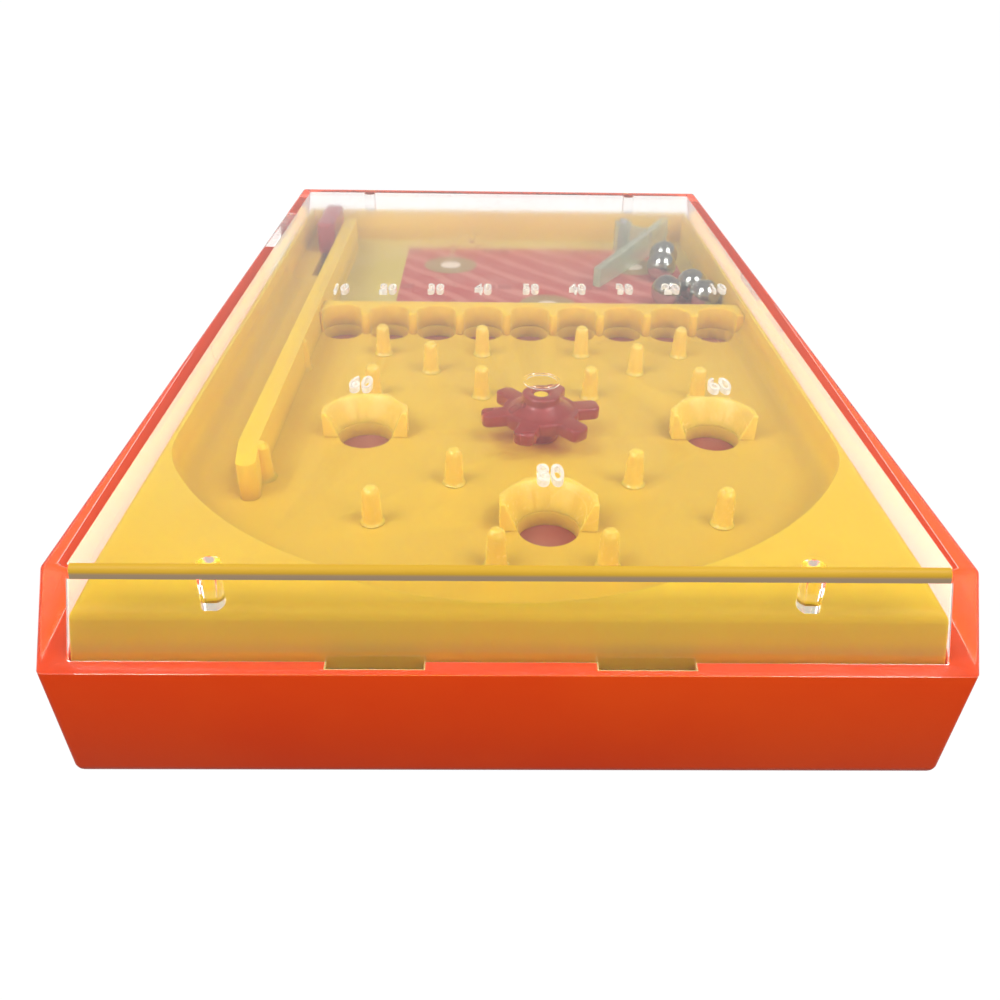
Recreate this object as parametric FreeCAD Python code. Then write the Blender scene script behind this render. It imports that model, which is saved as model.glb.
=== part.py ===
import FreeCAD, Part
import math
import os

# Pocket ball game. Millimetres, +Z up, origin at the middle of the underside.
# -Y is the end where the balls come over the arc, +Y the end with the reservoir.

Vec = FreeCAD.Vector

# Case, measured at the rim where tray and cover meet
case_width = 75.0
case_length = 120.0
tray_draft_inset = 0.45
tray_floor = 1.6
tray_foot_round = 1.3
case_corner_round = 0.6
inner_corner_round = 0.3
ledge_height = 10.6
rim_rise = 0.85

# Tray ribs and posts that carry the card
rib_width = 1.4
rib_depth = 1.6
rib_pitch = 18.0
post_radius = 2.2
post_column_pitch = 24.0
post_row_pitch = 34.0
post_row_count = 3

# Picture card
card_thickness = 0.6
card_gap = 0.25

# Clear cover
cover_draft = 11.55
cover_inner_draft_side = 9.5
cover_inner_draft_end = 5.0
cover_wall_side = 2.05
cover_wall_end = 2.2
cover_plate = 1.6
cover_headroom = 2.8
cover_edge_round = 0.6
hold_pin_radius = 0.95
hold_pin_side_inset = 11.1
hold_pin_end_inset = 0.7
cap_ring_outer = 2.0
cap_ring_inner = 1.65
cap_ring_gap = 0.75

# Snap tabs at both ends of the cover
tab_width = 7.8
tab_thickness = 1.1
tab_drop = 3.2
tab_centre_x = 10.9
tab_barb = 0.35
tab_barb_height = 0.7
tab_clearance = 0.1
tab_root_height = 0.4

# Yellow playfield moulding
field_clearance = 0.1
field_floor = 1.5
field_wall = 1.5
deck_rise = 4.0
deck_lip = 0.87
deck_round = 1.2
recess_cove = 2.5
near_arc_excess = 2.7
near_arc_blend = 14.0
play_axis_shift = -0.4

# Steel balls: the room they need, and their places from the right and far walls of the reservoir
ball_radius = 2.38
pocket_ball_room = 0.27
cup_ball_room = 0.57
ball_insets = ((3.6, 30.02), (7.0, 21.12), (5.7, 15.22), (2.6, 35.12), (8.1, 33.22))

# Lane wall on the left, its bend and its end given from the near end of the recess
lane_width = 6.5
lane_wall_thickness = 2.0
lane_wall_far_gap = 6.9
lane_wall_bend_inset = 24.7
lane_wall_end_inset = 20.5
lane_wall_end_shift = 0.6

# Row of pockets and the ridge behind them
pocket_count = 9
pocket_side_room = 0.4
pocket_row_y = 7.45
pocket_wall_height = 3.0
divider_nose_reach = 0.9
ridge_behind = 1.6

# Row that the spinner and the side cups share, and the near cup's place from the near end of the recess
middle_row_y = -23.0
cup_side_ratio = 2.99
cup_near_inset = 15.0

# Cups: bosses with a flat back and sloping shoulders round a funnel that widens upwards from the hole
cup_half_width = 4.7
cup_back_half_width = 2.2
cup_back_reach = 4.6
cup_shoulder_reach = 1.5
cup_mouth_reach = 0.6
cup_corner_round = 0.8
cup_lip = 0.5

# Pins in pairs: distance from the play axis in pocket pitches, and distance in front of the pocket row
far_pin_rows = ((1.01, 7.45), (3.02, 7.45), (2.01, 13.0), (1.01, 20.15), (3.02, 20.15))
# The same for the pairs at the near end, with the distance from the near end of the recess
near_pin_rows = ((1.42, 23.38), (2.59, 16.0), (0.77, 9.02))
# Posts in the side of the lane wall: offset from its right face, and distance from the near end
lane_post_rows = ((-0.45, 51.62), (0.25, 24.2))
pin_top_radius = 0.8
pin_foot_radius = 1.0
pin_flare = 0.3
pin_crown_radius = 0.45
pin_crown_height = 0.45

# Spinner
spinner_post_radius = 0.8
spinner_clearance = 0.05
spinner_hub_radius = 2.1
spinner_post_rise = 5.2
spinner_hub_height = 5.3
spinner_float = 0.1
spinner_disc_lift = 2.15
spinner_disc_thickness = 1.4
spinner_disc_radius = 4.2
spinner_cone_radius = 3.5
spinner_cone_drop = 0.9
spinner_tip_radius = 6.6
spinner_arm_width = 2.3
spinner_arm_round = 0.8
spinner_arm_count = 6
spinner_phase = 10.5

# Launcher, its slots and its spring
launcher_offset_x = 0.75
launcher_width = 3.0
launcher_length = 12.6
launcher_height = 4.9
launcher_end_gap = 0.85
launcher_travel = 13.0
launcher_float = 0.08
launcher_round = 0.9
launcher_bay_gap = 0.6
stem_width = 1.4
stem_inset = 1.4
slot_clearance = 0.12
carriage_width = 4.4
carriage_depth = 5.2
thumb_length = 5.6
thumb_setback = 0.4
thumb_thickness = 2.4
thumb_rise = 1.1
thumb_side_gap = 0.15
thumb_groove = 0.3
thumb_groove_count = 3
spring_length = 25.0
spring_turns = 7
spring_steps_per_turn = 12
spring_wire_sides = 6
spring_radius = 1.55
spring_wire = 0.5
spring_seat_gap = 0.02
spring_seat_thickness = 1.8
spigot_radius = 0.9
spigot_length = 1.6

# Swinging gate beside the balls, its plate's ends given from its pivot
gate_side_inset = 11.5
gate_end_inset = 5.02
gate_pin_radius = 0.8
gate_pin_clearance = 0.05
gate_hub_radius = 1.5
gate_height = 5.0
gate_near_height = 3.0
gate_float = 0.1
gate_thickness = 1.3
gate_near_x = -6.5
gate_near_y = -20.0
gate_far_x = 8.0
gate_far_y = 3.0
gate_pin_rise = 0.5
gate_pin_depth = 6.0
gate_boss_radius = 2.4

# Levels that follow from the sizes above
card_top = ledge_height + card_thickness
rim_height = card_top + rim_rise
field_top = card_top + field_floor
deck_top = field_top + deck_rise
plate_under = deck_top + cover_headroom
case_height = plate_under + cover_plate
pocket_top = field_top + pocket_wall_height

# Outlines that follow from the sizes above
half_width = case_width / 2
half_length = case_length / 2
inner_half_width = half_width - cover_wall_side
inner_half_length = half_length - cover_wall_end
foot_half_width = inner_half_width - field_clearance
foot_half_length = inner_half_length - field_clearance


def slope(degrees):
    return math.tan(math.radians(degrees))


deck_half_width = foot_half_width - slope(cover_inner_draft_side) * (deck_top - rim_height)
deck_half_length = foot_half_length - slope(cover_inner_draft_end) * (deck_top - rim_height)
recess_half_width = deck_half_width - deck_lip
recess_half_length = deck_half_length - deck_lip
near_arc_radius = recess_half_width + near_arc_excess
near_end_y = -recess_half_length
near_arc_centre_y = near_end_y + near_arc_radius
lane_left = -recess_half_width
lane_right = lane_left + lane_width
lane_wall_right = lane_right + lane_wall_thickness
lane_wall_middle = (lane_right + lane_wall_right) / 2
lane_wall_far = recess_half_length - lane_wall_far_gap
lane_wall_bend_y = near_end_y + lane_wall_bend_inset
lane_wall_end_y = near_end_y + lane_wall_end_inset
play_axis_x = (lane_wall_right + recess_half_width) / 2 + play_axis_shift
pocket_radius = ball_radius + pocket_ball_room
pocket_pitch = (recess_half_width - lane_wall_right - pocket_side_room) / pocket_count
pocket_xs = [
    play_axis_x + (index - (pocket_count - 1) / 2) * pocket_pitch
    for index in range(pocket_count)
]
half_divider = pocket_pitch / 2 - pocket_radius
ridge_front = pocket_row_y - divider_nose_reach + half_divider
ridge_rear = pocket_row_y + pocket_radius + ridge_behind
cup_hole_radius = ball_radius + cup_ball_room
cup_side_offset = cup_side_ratio * pocket_pitch
cup_places = {
    "cup_left": (play_axis_x - cup_side_offset, middle_row_y),
    "cup_right": (play_axis_x + cup_side_offset, middle_row_y),
    "cup_near": (play_axis_x, near_end_y + cup_near_inset),
}
pin_rows = [(pitches, pocket_row_y - ahead) for pitches, ahead in far_pin_rows]
pin_rows += [(pitches, near_end_y + inset) for pitches, inset in near_pin_rows]
pin_places = [
    (play_axis_x + side * pitches * pocket_pitch, y)
    for pitches, y in pin_rows
    for side in (-1, 1)
]
lane_post_places = [(lane_wall_right + offset, near_end_y + inset) for offset, inset in lane_post_rows]
launcher_x = (lane_left + lane_right) / 2 + launcher_offset_x
launcher_far = recess_half_length - launcher_end_gap
launcher_near = launcher_far - launcher_length
thumb_near = launcher_near + thumb_setback
spring_axis_z = ledge_height - launcher_float - carriage_depth / 2
spring_fixed_y = launcher_near - spring_length - spring_seat_gap * 2
gate_pivot_x = recess_half_width - gate_side_inset
gate_pivot_y = recess_half_length - gate_end_inset
ball_places = [(recess_half_width - side, recess_half_length - end) for side, end in ball_insets]

# Cuts run this far past a face so that no skin is left
past = 0.5

# An edge counts as upright from this share of Z in its direction, and as level within this height
upright_share = 0.7
level_tolerance = 1e-4


def box(x0, x1, y0, y1, z0, z1):
    return Part.makeBox(x1 - x0, y1 - y0, z1 - z0, Vec(x0, y0, z0))


def cylinder(radius, x, y, z0, z1):
    return Part.makeCylinder(radius, z1 - z0, Vec(x, y, z0))


def fuse(shapes):
    return shapes[0].multiFuse(shapes[1:]).removeSplitter()


def rectangle_corners(half_x, half_y, z):
    return [
        Vec(-half_x, -half_y, z), Vec(half_x, -half_y, z),
        Vec(half_x, half_y, z), Vec(-half_x, half_y, z),
    ]


def polygon_face(corners):
    return Part.Face(Part.makePolygon(corners + corners[:1]))


def upright_edges(shape):
    return [edge for edge in shape.Edges if abs(edge.tangentAt(edge.FirstParameter).z) > upright_share]


def edges_at(shape, z):
    return [
        edge for edge in shape.Edges
        if all(abs(vertex.Z - z) < level_tolerance for vertex in edge.Vertexes)
    ]


def tapered_block(half_x0, half_y0, z0, half_x1, half_y1, z1):
    lower = rectangle_corners(half_x0, half_y0, z0)
    upper = rectangle_corners(half_x1, half_y1, z1)
    faces = [polygon_face(lower[::-1]), polygon_face(upper)]
    for index in range(4):
        after = (index + 1) % 4
        faces.append(polygon_face([lower[index], lower[after], upper[after], upper[index]]))
    return Part.makeSolid(Part.makeShell(faces))


def round_uprights(shape, radius):
    return shape.makeFillet(radius, upright_edges(shape))


def recess_face(grow, z):
    # Straight sides run into the near arc through a smaller blending arc
    side = recess_half_width + grow
    far = recess_half_length + grow
    big = near_arc_radius + grow
    blend = near_arc_blend + grow
    blend_x = side - blend
    blend_y = near_arc_centre_y - math.sqrt((big - blend) ** 2 - blend_x ** 2)
    share = big / (big - blend)
    join_x = blend_x * share
    join_y = near_arc_centre_y + (blend_y - near_arc_centre_y) * share
    turn = math.atan2(join_y - blend_y, join_x - blend_x) / 2
    mid_x = blend_x + blend * math.cos(turn)
    mid_y = blend_y + blend * math.sin(turn)
    right_side = Part.LineSegment(Vec(side, far, z), Vec(side, blend_y, z)).toShape()
    right_blend = Part.Arc(Vec(side, blend_y, z), Vec(mid_x, mid_y, z), Vec(join_x, join_y, z)).toShape()
    near_end = Vec(0, near_arc_centre_y - big, z)
    near_arc = Part.Arc(Vec(join_x, join_y, z), near_end, Vec(-join_x, join_y, z)).toShape()
    left_blend = Part.Arc(Vec(-join_x, join_y, z), Vec(-mid_x, mid_y, z), Vec(-side, blend_y, z)).toShape()
    left_side = Part.LineSegment(Vec(-side, blend_y, z), Vec(-side, far, z)).toShape()
    far_side = Part.LineSegment(Vec(-side, far, z), Vec(side, far, z)).toShape()
    wire = Part.Wire([right_side, right_blend, near_arc, left_blend, left_side, far_side])
    return Part.Face(wire)


def thumb_slot():
    # Opening in the left wall of the tray, from the thumb tab at rest to its far travel
    low = ledge_height - thumb_thickness - launcher_float - thumb_side_gap * 2
    return (
        -half_width - past,
        -inner_half_width + past,
        thumb_near - launcher_travel - thumb_side_gap * 2,
        thumb_near + thumb_length + thumb_side_gap * 2,
        low,
        rim_height + past,
    )


def rib_places(half_span):
    count = int(half_span // rib_pitch)
    return [index * rib_pitch for index in range(-count, count + 1)]


def make_base_tray():
    outer = tapered_block(
        half_width - tray_draft_inset, half_length - tray_draft_inset, 0,
        half_width, half_length, rim_height)
    outer = outer.makeFillet(tray_foot_round, edges_at(outer, 0))
    outer = round_uprights(outer, case_corner_round)
    cavity = round_uprights(box(
        -inner_half_width, inner_half_width, -inner_half_length, inner_half_length,
        tray_floor, rim_height + past), inner_corner_round)
    tray = outer.cut(cavity)
    slot = thumb_slot()
    additions = []
    for y in rib_places(inner_half_length):
        additions.append(box(
            inner_half_width - rib_depth, inner_half_width + past,
            y - rib_width / 2, y + rib_width / 2, tray_floor - past, ledge_height))
        if y + rib_width < slot[2] or y - rib_width > slot[3]:
            additions.append(box(
                -inner_half_width - past, -inner_half_width + rib_depth,
                y - rib_width / 2, y + rib_width / 2, tray_floor - past, ledge_height))
    for x in rib_places(inner_half_width):
        for side in (-1, 1):
            y0, y1 = sorted((side * (inner_half_length - rib_depth), side * (inner_half_length + past)))
            additions.append(box(
                x - rib_width / 2, x + rib_width / 2, y0, y1, tray_floor - past, ledge_height))
    for row in range(post_row_count):
        y = (row - (post_row_count - 1) / 2) * post_row_pitch
        for x in (-post_column_pitch / 2, post_column_pitch / 2):
            additions.append(cylinder(post_radius, x, y, tray_floor - past, ledge_height))
    additions.append(cylinder(gate_boss_radius, gate_pivot_x, gate_pivot_y, tray_floor - past, ledge_height))
    additions.append(make_spring_seat())
    tray = fuse([tray] + additions)
    cuts = [box(*slot)]
    cuts.append(cylinder(
        gate_pin_radius, gate_pivot_x, gate_pivot_y, ledge_height - gate_pin_depth, ledge_height + past))
    for side in (-1, 1):
        for x in (-tab_centre_x, tab_centre_x):
            cuts.extend(snap_tab(x, side, tab_clearance))
    return tray.cut(fuse(cuts)).removeSplitter()


def make_spring_seat():
    # Upright plate across the lane line, with a spigot inside the end coil
    face_y = spring_fixed_y
    plate = box(
        launcher_x - carriage_width / 2, launcher_x + carriage_width / 2,
        face_y - spring_seat_thickness, face_y, tray_floor - past, spring_axis_z + carriage_width / 2)
    spigot = Part.makeCylinder(
        spigot_radius, spigot_length + past, Vec(launcher_x, face_y - past, spring_axis_z), Vec(0, 1, 0))
    return fuse([plate, spigot])


def snap_tab(x, side, grow):
    # Tab that hangs from the end wall of the cover, with a barb near its foot
    outer_y = inner_half_length + tab_thickness + tab_clearance
    low = rim_height - tab_drop
    half = tab_width / 2 + grow
    root = rim_height + (past if grow else tab_root_height)
    body_y = sorted((side * (inner_half_length - (past if grow else 0)), side * (outer_y + grow)))
    body = box(x - half, x + half, body_y[0], body_y[1], low - grow, root)
    barb_y = sorted((side * (outer_y - past), side * (outer_y + tab_barb + grow)))
    barb = box(x - half, x + half, barb_y[0], barb_y[1], low - grow, low + tab_barb_height + grow)
    return [body, barb]


def make_picture_card():
    card_half_width = inner_half_width - card_gap
    card_half_length = inner_half_length - card_gap
    card = box(-card_half_width, card_half_width, -card_half_length, card_half_length, ledge_height, card_top)
    card = round_uprights(card, inner_corner_round)
    slot = stem_slot(slot_clearance * 2)
    slot_cut = box(slot[0], slot[1], slot[2], slot[3], ledge_height - past, card_top + past)
    pin_hole = cylinder(gate_pin_radius, gate_pivot_x, gate_pivot_y, ledge_height - past, card_top + past)
    return card.cut(fuse([slot_cut, pin_hole]))


def stem_slot(clearance):
    return (
        launcher_x - stem_width / 2 - clearance,
        launcher_x + stem_width / 2 + clearance,
        launcher_near + stem_inset - launcher_travel - clearance,
        launcher_far - stem_inset + clearance,
    )


def make_pin(x, y):
    # Stack of cones about one axis: flared foot, long taper, crowned top
    shoulder = deck_top - pin_crown_height
    neck = field_top + pin_flare
    at = Vec(x, y, 0)
    flare = Part.makeCone(pin_foot_radius + pin_flare, pin_foot_radius, pin_flare, at + Vec(0, 0, field_top))
    taper = Part.makeCone(pin_foot_radius, pin_top_radius, shoulder - neck, at + Vec(0, 0, neck))
    crown = Part.makeCone(pin_top_radius, pin_crown_radius, pin_crown_height, at + Vec(0, 0, shoulder))
    return fuse([flare, taper, crown])


def make_cup(x, y):
    # Boss that is open towards the near end, with a funnel down to the hole
    corners = [Vec(x + across, y + along, field_top) for across, along in (
        (-cup_half_width, -cup_mouth_reach),
        (cup_half_width, -cup_mouth_reach),
        (cup_half_width, cup_shoulder_reach),
        (cup_back_half_width, cup_back_reach),
        (-cup_back_half_width, cup_back_reach),
        (-cup_half_width, cup_shoulder_reach),
    )]
    boss = polygon_face(corners).extrude(Vec(0, 0, pocket_wall_height))
    boss = boss.makeFillet(cup_corner_round, [edge for edge in upright_edges(boss) if edge.Vertexes[0].Y > y])
    widening = (cup_half_width - cup_lip - cup_hole_radius) / pocket_wall_height
    funnel = Part.makeCone(
        cup_hole_radius - widening * past, cup_hole_radius + widening * (pocket_wall_height + past),
        pocket_wall_height + past * 2, Vec(x, y, field_top - past))
    return boss.cut(funnel)


def make_pocket_ridge():
    # Bar right across the field, with one scoop per pocket and rounded divider noses
    bar = box(lane_wall_right, recess_half_width, ridge_front, ridge_rear, field_top, pocket_top)
    noses = [
        cylinder(half_divider, x + pocket_pitch / 2, ridge_front, field_top, pocket_top)
        for x in pocket_xs[:-1]
    ]
    scoops = []
    for x in pocket_xs:
        scoops.append(cylinder(pocket_radius, x, pocket_row_y, field_top - past, pocket_top + past))
        scoops.append(box(
            x - pocket_radius, x + pocket_radius, pocket_row_y - pocket_radius * 2, pocket_row_y,
            field_top - past, pocket_top + past))
    return fuse([bar] + noses).cut(fuse(scoops)).removeSplitter()


def make_lane_wall():
    # Straight from the reservoir to the bend, then leaning in to a rounded end, with two posts in its side
    half = lane_wall_thickness / 2
    straight = box(lane_right, lane_wall_right, lane_wall_bend_y, lane_wall_far, field_top, deck_top)
    end_x = lane_wall_middle + lane_wall_end_shift
    run = Vec(end_x - lane_wall_middle, lane_wall_end_y - lane_wall_bend_y, 0)
    across = Vec(-run.y, run.x, 0).normalize() * half
    start = Vec(lane_wall_middle, lane_wall_bend_y, field_top)
    corners = [start + across, start + run + across, start + run - across, start - across]
    lean = polygon_face(corners).extrude(Vec(0, 0, deck_rise))
    bend = cylinder(half, lane_wall_middle, lane_wall_bend_y, field_top, deck_top)
    tip = cylinder(half, end_x, lane_wall_end_y, field_top, deck_top)
    far_tip = cylinder(half, lane_wall_middle, lane_wall_far, field_top, deck_top)
    posts = [make_pin(x, y) for x, y in lane_post_places]
    return fuse([straight, lean, bend, tip, far_tip] + posts)


def make_playfield():
    # Tray with an arc at its near end, on whose floor the wall, ridge, cups and pins stand
    body = tapered_block(
        foot_half_width, foot_half_length, card_top,
        deck_half_width, deck_half_length, deck_top)
    body = body.makeFillet(deck_round, edges_at(body, deck_top))
    body = round_uprights(body, inner_corner_round)
    recess = recess_face(0, field_top).extrude(Vec(0, 0, deck_rise + past))
    recess = recess.makeFillet(recess_cove, edges_at(recess, field_top))
    # Square seats in the cove for the launcher and for the end of the ridge
    bay = box(
        lane_left, lane_right, launcher_near - launcher_travel - launcher_bay_gap, recess_half_length,
        field_top, deck_top + past)
    ridge_seat = box(
        recess_half_width - recess_cove, recess_half_width, ridge_front, ridge_rear,
        field_top, deck_top + past)
    reservoir = box(
        lane_wall_right, recess_half_width, ridge_rear, recess_half_length, card_top - past, deck_top + past)
    feed = box(
        lane_right, recess_half_width, lane_wall_far, recess_half_length, card_top - past, deck_top + past)
    tip_floor = cylinder(lane_wall_thickness / 2, lane_wall_middle, lane_wall_far, 0, case_height)
    slot = stem_slot(slot_clearance)
    cuts = [recess, bay, ridge_seat, fuse([reservoir, feed]).cut(tip_floor), make_corner_hollows()]
    cuts.append(box(slot[0], slot[1], slot[2], slot[3], card_top - past, field_top + past))
    for x, y in cup_places.values():
        cuts.append(cylinder(cup_hole_radius, x, y, card_top - past, field_top + past))
    for x in pocket_xs:
        cuts.append(cylinder(pocket_radius, x, pocket_row_y, card_top - past, field_top + past))
    axle = cylinder(
        spinner_post_radius, play_axis_x, middle_row_y, field_top - past, field_top + spinner_post_rise)
    return fuse([body.cut(fuse(cuts)), axle])


def make_corner_hollows():
    # Hollows under the deck outside the near arc, which leave an even wall
    roof = deck_top - field_wall
    half_x = deck_half_width - field_wall
    half_y = deck_half_length - field_wall
    block = box(-half_x, half_x, -half_y, near_arc_centre_y, card_top - past, roof)
    inner = recess_face(field_wall, card_top - 2 * past).extrude(Vec(0, 0, roof - card_top + 3 * past))
    return block.cut(inner)


def make_clear_cover():
    height = case_height - rim_height
    inset = slope(cover_draft) * height
    outer = round_uprights(tapered_block(
        half_width, half_length, rim_height,
        half_width - inset, half_length - inset, case_height), case_corner_round)
    outer = outer.makeFillet(cover_edge_round, edges_at(outer, case_height))
    depth = plate_under - rim_height
    cavity = round_uprights(tapered_block(
        inner_half_width, inner_half_length, rim_height,
        inner_half_width - slope(cover_inner_draft_side) * depth,
        inner_half_length - slope(cover_inner_draft_end) * depth, plate_under), inner_corner_round)
    cover = outer.cut(cavity)
    additions = []
    pin_x = deck_half_width - hold_pin_side_inset
    pin_y = deck_half_length - hold_pin_end_inset
    for x in (-pin_x, pin_x):
        for y in (-pin_y, pin_y):
            additions.append(cylinder(hold_pin_radius, x, y, deck_top, plate_under + past))
    ring_low = field_top + spinner_float + spinner_hub_height + cap_ring_gap
    ring = cylinder(cap_ring_outer, play_axis_x, middle_row_y, ring_low, plate_under + past)
    additions.append(ring.cut(
        cylinder(cap_ring_inner, play_axis_x, middle_row_y, ring_low - past, plate_under)))
    for side in (-1, 1):
        for x in (-tab_centre_x, tab_centre_x):
            additions.extend(snap_tab(x, side, 0))
    return fuse([cover] + additions)


def make_spinner():
    low = field_top + spinner_float
    hub = cylinder(spinner_hub_radius, 0, 0, low, low + spinner_hub_height)
    disc_low = field_top + spinner_disc_lift
    disc_high = disc_low + spinner_disc_thickness
    rotor = cylinder(spinner_disc_radius, 0, 0, disc_low, disc_high)
    half = spinner_arm_width / 2
    for index in range(spinner_arm_count):
        arm = box(0, spinner_tip_radius, -half, half, disc_low, disc_high)
        tip_edges = [edge for edge in upright_edges(arm) if edge.Vertexes[0].X > half]
        arm = arm.makeFillet(spinner_arm_round, tip_edges)
        arm.rotate(Vec(0, 0, 0), Vec(0, 0, 1), index * 360 / spinner_arm_count)
        rotor = rotor.fuse(arm)
    rotor = rotor.removeSplitter()
    cone_top = low + spinner_hub_height - spinner_cone_drop
    cone = Part.makeCone(
        spinner_cone_radius, spinner_hub_radius, cone_top - disc_high, Vec(0, 0, disc_high))
    spinner = rotor.multiFuse([cone, hub])
    bore = cylinder(
        spinner_post_radius + spinner_clearance, 0, 0, low - past, low + spinner_hub_height + past)
    spinner = spinner.cut(bore).removeSplitter()
    spinner.rotate(Vec(0, 0, 0), Vec(0, 0, 1), spinner_phase)
    spinner.translate(Vec(play_axis_x, middle_row_y, 0))
    return spinner


def make_launcher():
    # Block in the lane, stem through the slot, carriage under the card, tab in the side slot
    low = field_top + launcher_float
    block = box(
        launcher_x - launcher_width / 2, launcher_x + launcher_width / 2,
        launcher_near, launcher_far, low, low + launcher_height)
    block = block.makeFillet(launcher_round, upright_edges(block))
    block = block.makeFillet(launcher_round / 2, edges_at(block, low + launcher_height))
    carriage_top = ledge_height - launcher_float
    stem = box(
        launcher_x - stem_width / 2, launcher_x + stem_width / 2,
        launcher_near + stem_inset, launcher_far - stem_inset, carriage_top - past, low + past)
    carriage = box(
        launcher_x - carriage_width / 2, launcher_x + carriage_width / 2,
        launcher_near, launcher_far, carriage_top - carriage_depth, carriage_top)
    spigot = Part.makeCylinder(
        spigot_radius, spigot_length + past, Vec(launcher_x, launcher_near + past, spring_axis_z),
        Vec(0, -1, 0))
    outer_x = -half_width + thumb_side_gap
    arm = box(
        outer_x, launcher_x, thumb_near, thumb_near + thumb_length,
        carriage_top - thumb_thickness, carriage_top)
    # The tab rises outside the card and the foot of the playfield, short of the cover
    lip = box(
        outer_x, -inner_half_width - thumb_side_gap, thumb_near, thumb_near + thumb_length,
        carriage_top - thumb_thickness, carriage_top + thumb_rise)
    launcher = fuse([block, stem, carriage, spigot, arm, lip])
    grooves = []
    for index in range(thumb_groove_count):
        y = thumb_near + thumb_length * (index + 1) / (thumb_groove_count + 1)
        grooves.append(Part.makeCylinder(
            thumb_groove, thumb_thickness + thumb_rise + past * 2,
            Vec(outer_x, y, carriage_top - thumb_thickness - past)))
    return launcher.cut(fuse(grooves)).removeSplitter()


def make_launcher_spring():
    # Open coil between the seat in the tray and the face of the carriage, lofted
    # through many-sided wire sections that stand in planes through the coil's axis
    start_y = spring_fixed_y + spring_seat_gap + spring_wire / 2
    coil_length = spring_length - spring_wire
    print("spring gap between turns %.2f" % (coil_length / spring_turns - spring_wire))
    step_count = spring_turns * spring_steps_per_turn
    sections = []
    for step in range(step_count + 1):
        turn = 2 * math.pi * step / spring_steps_per_turn
        y = start_y + coil_length * step / step_count
        corners = []
        for corner in range(spring_wire_sides):
            angle = 2 * math.pi * corner / spring_wire_sides
            reach = spring_radius + spring_wire / 2 * math.cos(angle)
            rise = spring_wire / 2 * math.sin(angle)
            corners.append(Vec(
                launcher_x + reach * math.cos(turn), y + rise, spring_axis_z + reach * math.sin(turn)))
        sections.append(Part.makePolygon(corners + corners[:1]))
    return Part.makeLoft(sections, True, True)


def make_ball_gate():
    low = card_top + gate_float
    high = low + gate_height
    hub = cylinder(gate_hub_radius, gate_pivot_x, gate_pivot_y, low, high)
    pivot = Vec(gate_pivot_x, gate_pivot_y, low)
    near = pivot + Vec(gate_near_x, gate_near_y, 0)
    far = pivot + Vec(gate_far_x, gate_far_y, 0)
    run = far - near
    along = Vec(run).normalize()
    across = Vec(-along.y, along.x, 0) * gate_thickness
    # Plate whose top rises from its near end to its far end
    profile = [near, far, far + Vec(0, 0, gate_height), near + Vec(0, 0, gate_near_height)]
    plate = polygon_face([corner - across / 2 for corner in profile]).extrude(across)
    # Web from the hub square to the plate
    reach = (pivot - near).dot(along)
    foot = near + along * reach
    web_height = gate_near_height + (gate_height - gate_near_height) * reach / run.Length
    side = along * (gate_thickness / 2)
    web_corners = [pivot + side, foot + side, foot - side, pivot - side]
    web = polygon_face(web_corners).extrude(Vec(0, 0, web_height))
    gate = fuse([hub, plate, web])
    bore = cylinder(
        gate_pin_radius + gate_pin_clearance, gate_pivot_x, gate_pivot_y, low - past, high + past)
    return gate.cut(bore).removeSplitter()


def make_gate_pin():
    high = card_top + gate_float + gate_height + gate_pin_rise
    return cylinder(gate_pin_radius, gate_pivot_x, gate_pivot_y, ledge_height - gate_pin_depth, high)


def make_ball(x, y):
    return Part.makeSphere(ball_radius, Vec(x, y, card_top + ball_radius))


def write_nodes():
    os.makedirs("parts", exist_ok=True)
    nodes = {
        "base_tray": make_base_tray(),
        "picture_card": make_picture_card(),
        "playfield": make_playfield(),
        "lane_wall": make_lane_wall(),
        "pocket_ridge": make_pocket_ridge(),
        "clear_cover": make_clear_cover(),
        "spinner": make_spinner(),
        "launcher": make_launcher(),
        "launcher_spring": make_launcher_spring(),
        "ball_gate": make_ball_gate(),
        "gate_pin": make_gate_pin(),
    }
    for name, (x, y) in cup_places.items():
        nodes[name] = make_cup(x, y)
    for index, (x, y) in enumerate(pin_places, 1):
        nodes["pin_%d" % index] = make_pin(x, y)
    for index, (x, y) in enumerate(ball_places, 1):
        nodes["ball_%d" % index] = make_ball(x, y)
    for name, shape in nodes.items():
        solid = shape.Solids[0]
        bound = solid.optimalBoundingBox(True, False)
        print("%-16s solids %d valid %s volume %8.1f  x %.2f %.2f  y %.2f %.2f  z %.2f %.2f" % (
            name, len(shape.Solids), solid.isValid(), solid.Volume,
            bound.XMin, bound.XMax, bound.YMin, bound.YMax, bound.ZMin, bound.ZMax))
        solid.exportStep("parts/%s.step" % name)


write_nodes()
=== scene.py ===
import bpy
import bmesh
import math
from mathutils import Matrix, Vector


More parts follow.
